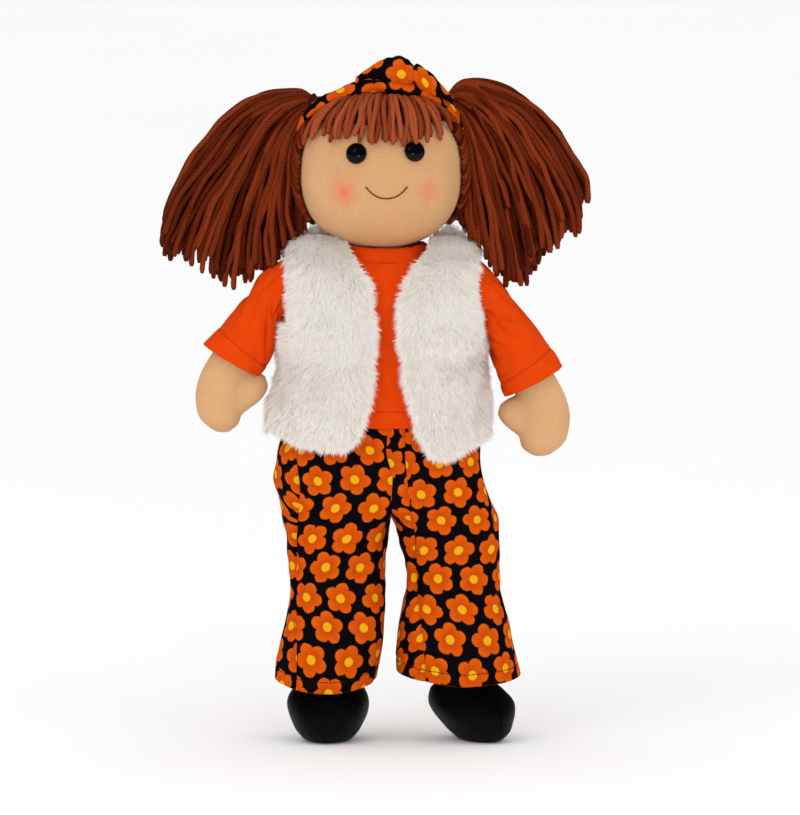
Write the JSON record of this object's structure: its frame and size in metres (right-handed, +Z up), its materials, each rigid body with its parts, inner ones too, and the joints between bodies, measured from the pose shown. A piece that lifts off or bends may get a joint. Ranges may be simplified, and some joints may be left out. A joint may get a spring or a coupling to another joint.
{
  "type": "rag doll",
  "caption": "Stuffed cloth doll with yarn hair in two bunches, flowered headband, T-shirt, flowered trousers and fur vest; jointed neck, shoulders, hips and bunches.",
  "frame": {"origin": "on the surface that the doll stands on, under the middle of its bounding box", "axes": "+Z up; the face looks along -Y; the doll's own left side is at +X"},
  "size_m": [0.2196, 0.0794, 0.3525],
  "materials": {
    "body_cloth": "light brown woven cotton, matt",
    "filling": "white fibre filling, out of sight",
    "eye": "black, polished",
    "washer": "white moulded locking washer",
    "mouth_thread": "dark red-brown sewing thread",
    "yarn": "auburn knitting yarn, plied, slightly fuzzy",
    "tie": "auburn elastic cord",
    "flower_print": "black cotton with round five-petal flowers in orange and yellow",
    "jersey": "orange-red cotton jersey",
    "fastening_tape": "orange hook and loop tape",
    "fur": "off-white curly fur fabric",
    "elastic": "white waist elastic",
    "shoe_cloth": "black satin cloth"
  },
  "bodies": {
    "torso": {"torso_skin": "body_cloth", "torso_filling": "filling", "shirt_body": "jersey", "shirt_neckband": "jersey", "shirt_loop_tape": "fastening_tape", "shirt_hook_tape": "fastening_tape", "vest_front_right": "fur", "vest_front_left": "fur", "vest_back": "fur", "trousers_seat": "flower_print", "waist_elastic": "elastic"},
    "neck": {"neck": "body_cloth"},
    "head": {"head_skin": "body_cloth", "head_filling": "filling", "eye_right": "eye", "eye_left": "eye", "eye_washer_right": "washer", "eye_washer_left": "washer", "mouth_stitching": "mouth_thread", "hair_cap": "yarn", "hair_fringe": "yarn", "headband": "flower_print", "headband_knot": "flower_print"},
    "bunch_right": {"hair_bunch_right": "yarn", "bunch_tie_right": "tie"},
    "bunch_left": {"hair_bunch_left": "yarn", "bunch_tie_left": "tie"},
    "arm_right": {"arm_right_skin": "body_cloth", "arm_right_filling": "filling", "shirt_sleeve_right": "jersey"},
    "arm_left": {"arm_left_skin": "body_cloth", "arm_left_filling": "filling", "shirt_sleeve_left": "jersey"},
    "leg_right": {"leg_right_skin": "body_cloth", "leg_right_filling": "filling", "trouser_leg_right": "flower_print", "shoe_right": "shoe_cloth"},
    "leg_left": {"leg_left_skin": "body_cloth", "leg_left_filling": "filling", "trouser_leg_left": "flower_print", "shoe_left": "shoe_cloth"}
  },
  "joints": [
    {"name": "neck_turn", "type": "hinge", "parent": "torso", "child": "neck", "pos_m": [0.00235, -0.00089, 0.249], "axis": [0, 0, 1], "range_deg": [-45, 45]},
    {"name": "head_nod", "type": "hinge", "parent": "neck", "child": "head", "pos_m": [0.00235, -0.00089, 0.262], "axis": [1, 0, 0], "range_deg": [-10, 10]},
    {"name": "bunch_right_lift", "type": "hinge", "parent": "head", "child": "bunch_right", "pos_m": [-0.03475, 0.00811, 0.3272], "axis": [0, 1, 0], "range_deg": [0, 45]},
    {"name": "bunch_left_lift", "type": "hinge", "parent": "head", "child": "bunch_left", "pos_m": [0.03625, 0.00811, 0.3272], "axis": [0, -1, 0], "range_deg": [0, 45]},
    {"name": "shoulder_right", "type": "hinge", "parent": "torso", "child": "arm_right", "pos_m": [-0.04305, -0.00089, 0.232], "axis": [-1, 0, 0], "range_deg": [-35, 85]},
    {"name": "shoulder_left", "type": "hinge", "parent": "torso", "child": "arm_left", "pos_m": [0.04575, -0.00089, 0.232], "axis": [-1, 0, 0], "range_deg": [-35, 85]},
    {"name": "hip_right", "type": "hinge", "parent": "torso", "child": "leg_right", "pos_m": [-0.02225, -0.00089, 0.1185], "axis": [-1, 0, 0], "range_deg": [-20, 90]},
    {"name": "hip_left", "type": "hinge", "parent": "torso", "child": "leg_left", "pos_m": [0.03575, -0.00089, 0.1185], "axis": [-1, 0, 0], "range_deg": [-20, 90]}
  ]
}
